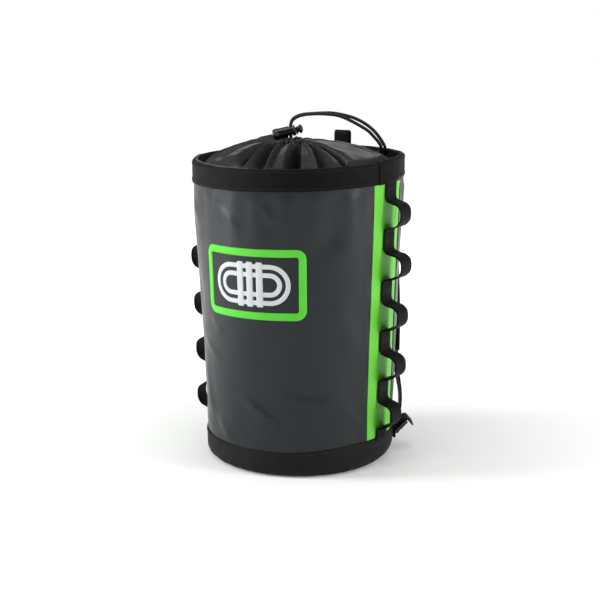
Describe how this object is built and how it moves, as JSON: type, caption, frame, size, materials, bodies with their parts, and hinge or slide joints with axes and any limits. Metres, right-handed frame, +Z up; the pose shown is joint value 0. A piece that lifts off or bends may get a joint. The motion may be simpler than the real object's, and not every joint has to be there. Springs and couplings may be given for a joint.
{
  "type": "rope storage bag",
  "caption": "Round rope storage bag with a stiff rim, gathered drawcord collar and cord lock, side daisy chains, shoulder straps and a rear haul loop.",
  "frame": {"origin": "centre of the base's underside", "axes": "+Z up, the badge and front face -Y, +X is the bag's side to the right of a viewer who faces the badge"},
  "size_m": [0.2823, 0.2531, 0.4101],
  "materials": {
    "tarp_grey": "PVC tarpaulin, satin",
    "tarp_green": "PVC tarpaulin, satin",
    "base_fabric": "coated nylon, matt",
    "eyelet_metal": "blackened",
    "webbing": "woven, matt",
    "hoop_plastic": "matt",
    "collar_nylon": "coated nylon, slight sheen",
    "cord": "braided",
    "moulded_plastic": "moulded, semi-gloss",
    "spring_steel": "drawn wire",
    "badge_dark": "satin film",
    "badge_green": "satin film",
    "badge_pale": "satin film",
    "strap_fabric": "woven nylon",
    "strap_mesh": "spacer mesh"
  },
  "bodies": {
    "bag": {"front_panel": "tarp_grey", "back_panel": "tarp_grey", "side_panel_left": "tarp_green", "side_panel_right": "tarp_green", "base_band": "base_fabric", "base_disc": "base_fabric", "drain_eyelets": "eyelet_metal", "rim_binding": "webbing", "daisy_chain_left": "webbing", "daisy_chain_right": "webbing", "haul_anchor": "webbing", "strap_webbing_left": "webbing", "strap_webbing_right": "webbing", "buckle_tab_left": "webbing", "buckle_tab_right": "webbing", "tie_in_loop": "webbing", "rim_hoop": "hoop_plastic", "collar": "collar_nylon", "collar_hem": "collar_nylon", "hem_cord": "cord", "drawcord": "cord", "badge_field": "badge_dark", "badge_border": "badge_green", "badge_symbol": "badge_pale", "strap_yoke": "strap_fabric", "strap_face_left": "strap_fabric", "strap_face_right": "strap_fabric", "strap_pad_left": "strap_mesh", "strap_pad_right": "strap_mesh"},
    "haul_loop": {"haul_loop": "webbing"},
    "cord_lock": {"lock_barrel": "moulded_plastic", "lock_spring": "spring_steel"},
    "lock_plunger": {"lock_plunger": "moulded_plastic"},
    "buckle_left": {"ladder_lock_left": "moulded_plastic", "webbing_tail_left": "webbing"},
    "buckle_right": {"ladder_lock_right": "moulded_plastic", "webbing_tail_right": "webbing"}
  },
  "joints": [
    {"name": "lock_slide", "type": "slide", "parent": "bag", "child": "cord_lock", "axis": [0, 0, 1], "range_m": [0, 0.003]},
    {"name": "knob_press", "type": "slide", "parent": "cord_lock", "child": "lock_plunger", "axis": [-0.8758, -0.4271, -0.225], "range_m": [0, 0.004], "stiffness_N_per_m": 500, "springref_m": -0.002, "deforming": ["lock_spring"]},
    {"name": "haul_loop_fold", "type": "hinge", "parent": "bag", "child": "haul_loop", "pos_m": [0, 0.12215, 0.3655], "axis": [1, 0, 0], "range_deg": [-50, 50], "stiffness_Nm_per_rad": 0.01},
    {"name": "buckle_tilt_right", "type": "hinge", "parent": "bag", "child": "buckle_right", "pos_m": [0.10416, 0.05538, 0.024], "axis": [-0.4695, 0.8829, 0], "range_deg": [-15, 20]},
    {"name": "buckle_tilt_left", "type": "hinge", "parent": "bag", "child": "buckle_left", "pos_m": [-0.10416, 0.05538, 0.024], "axis": [-0.4695, -0.8829, 0], "range_deg": [-15, 20]}
  ]
}
